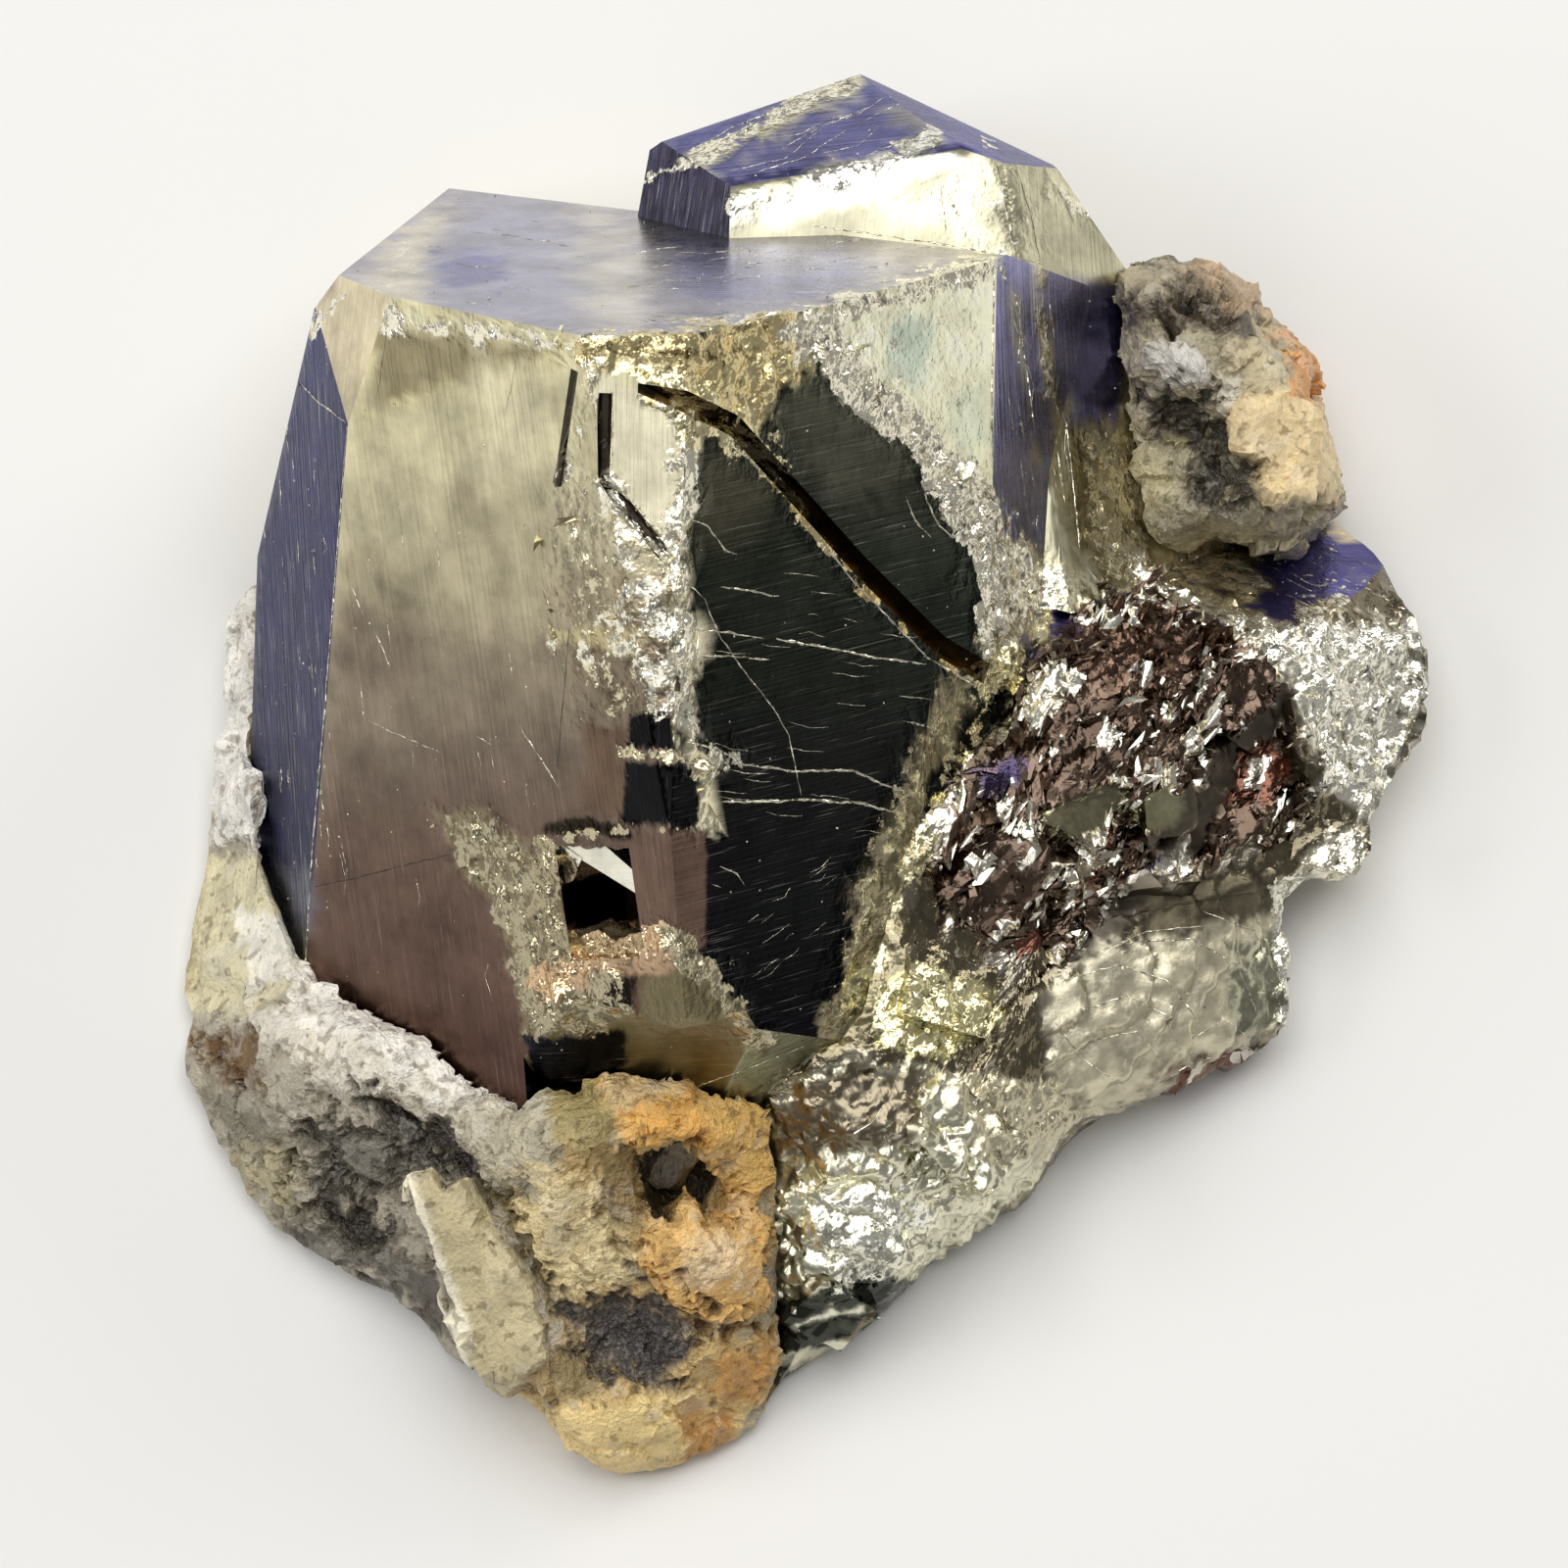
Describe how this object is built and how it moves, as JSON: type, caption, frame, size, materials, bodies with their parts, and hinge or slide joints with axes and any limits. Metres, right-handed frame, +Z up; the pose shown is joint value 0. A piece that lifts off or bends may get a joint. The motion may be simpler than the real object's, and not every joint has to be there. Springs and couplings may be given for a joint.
{
  "type": "pyrite specimen",
  "caption": "Hand-sized pyrite specimen: a large striated block crystal with smaller and broken crystals grown onto it, and remnants of quartz and feldspar rock.",
  "frame": {"origin": "on the surface that the specimen lies on, under the middle of its box", "axes": "+Z up from the surface, +Y towards the crystals' upper end, +X to the right as the specimen is looked at"},
  "size_m": [0.0508, 0.0592, 0.0301],
  "materials": {
    "pyrite": "bright to tarnished metallic crystal faces, granular where broken",
    "quartz": "rough, partly translucent, iron-stained at one end",
    "feldspar": "rough, speckled"
  },
  "bodies": {
    "root": {"pyrite": "pyrite", "quartz_matrix": "quartz", "feldspar_cap": "feldspar"}
  },
  "joints": []
}
